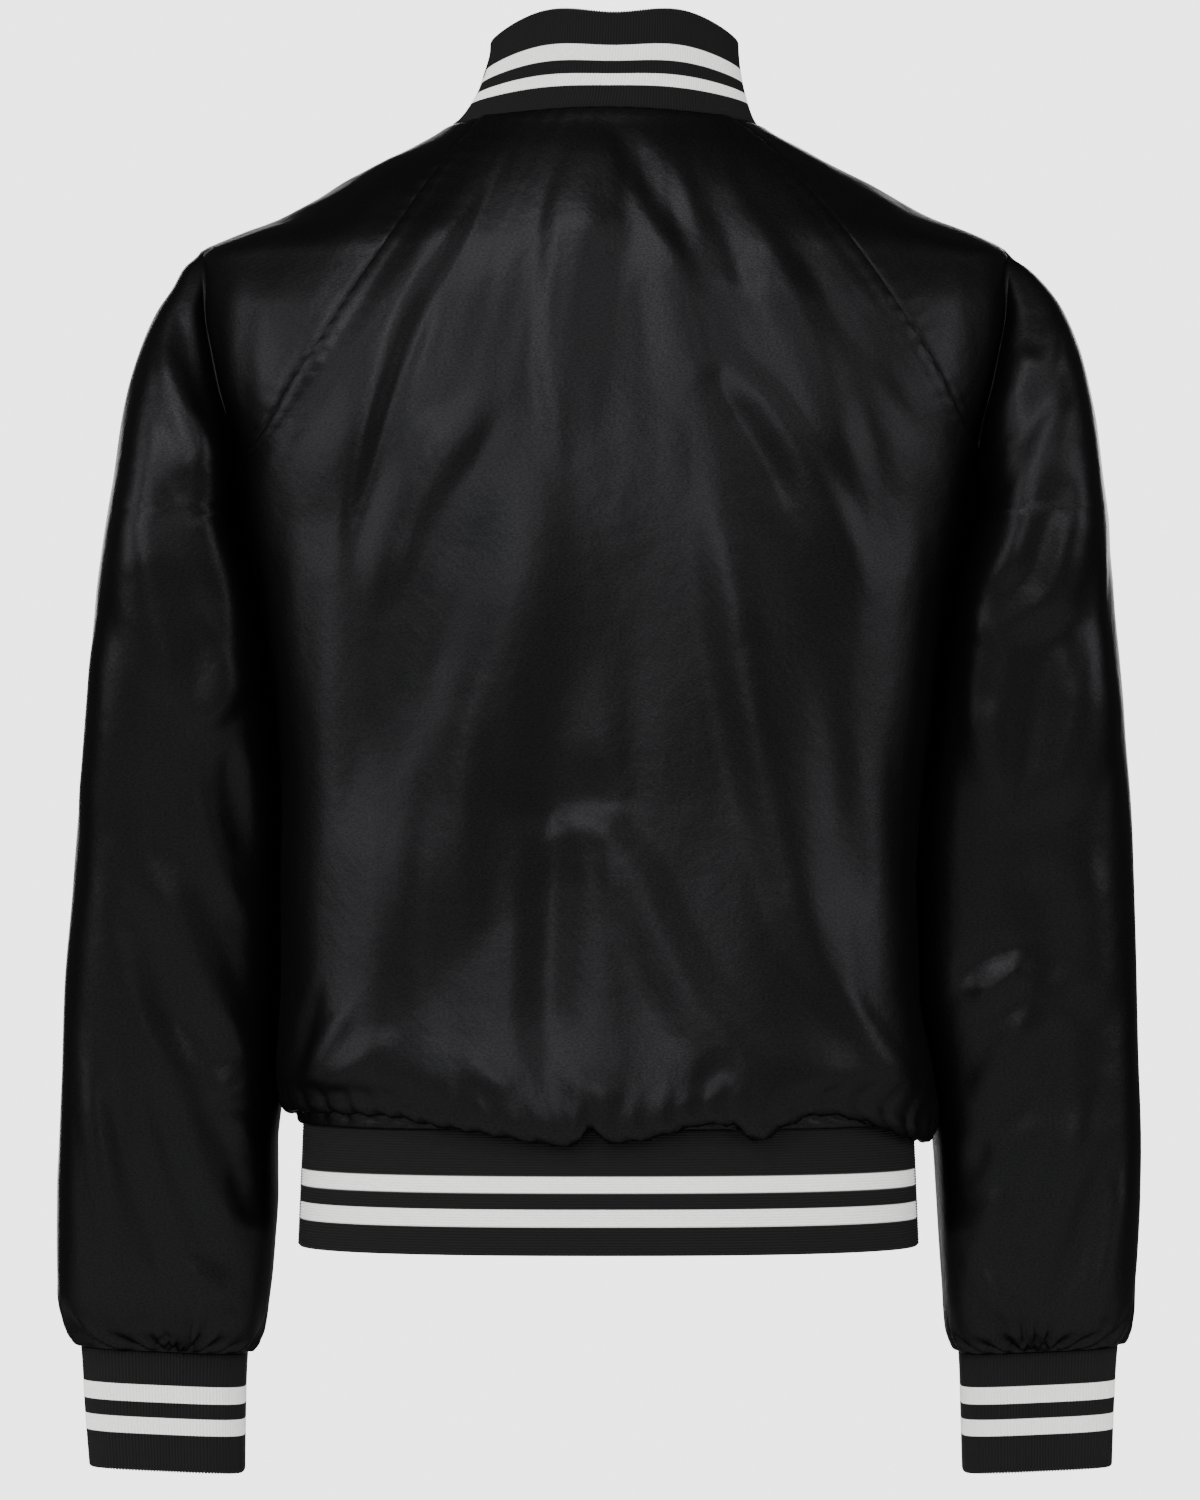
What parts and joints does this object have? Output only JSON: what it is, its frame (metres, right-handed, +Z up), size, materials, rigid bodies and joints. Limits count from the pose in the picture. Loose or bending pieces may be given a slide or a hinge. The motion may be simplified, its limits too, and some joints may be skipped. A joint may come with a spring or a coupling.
{
  "type": "satin baseball jacket",
  "caption": "Hip-length satin jacket with raglan sleeves, press-stud front and striped rib-knit collar, cuffs and hem band, in its hollow worn form.",
  "frame": {"origin": "middle of the neck opening, level with the points where the shoulders meet the collar; the wearer's neck and shoulders hold the jacket here", "axes": "+Z up along the wearer's spine, -Y the jacket's front, +X towards its left sleeve"},
  "size_m": [0.6339, 0.259, 0.8496],
  "materials": {
    "black_satin": "black satin-weave cloth with a soft sheen",
    "black_rib_knit": "black rib knit with two white stripes",
    "black_enamel": "gloss black enamelled press-stud cap"
  },
  "bodies": {
    "root": {"back": "black_satin", "front_left": "black_satin", "front_right": "black_satin", "sleeve_left": "black_satin", "sleeve_right": "black_satin", "collar": "black_rib_knit", "hem_band": "black_rib_knit", "cuff_left": "black_rib_knit", "cuff_right": "black_rib_knit", "snap_1": "black_enamel", "snap_2": "black_enamel", "snap_3": "black_enamel", "snap_4": "black_enamel", "snap_5": "black_enamel", "snap_6": "black_enamel"}
  },
  "joints": []
}
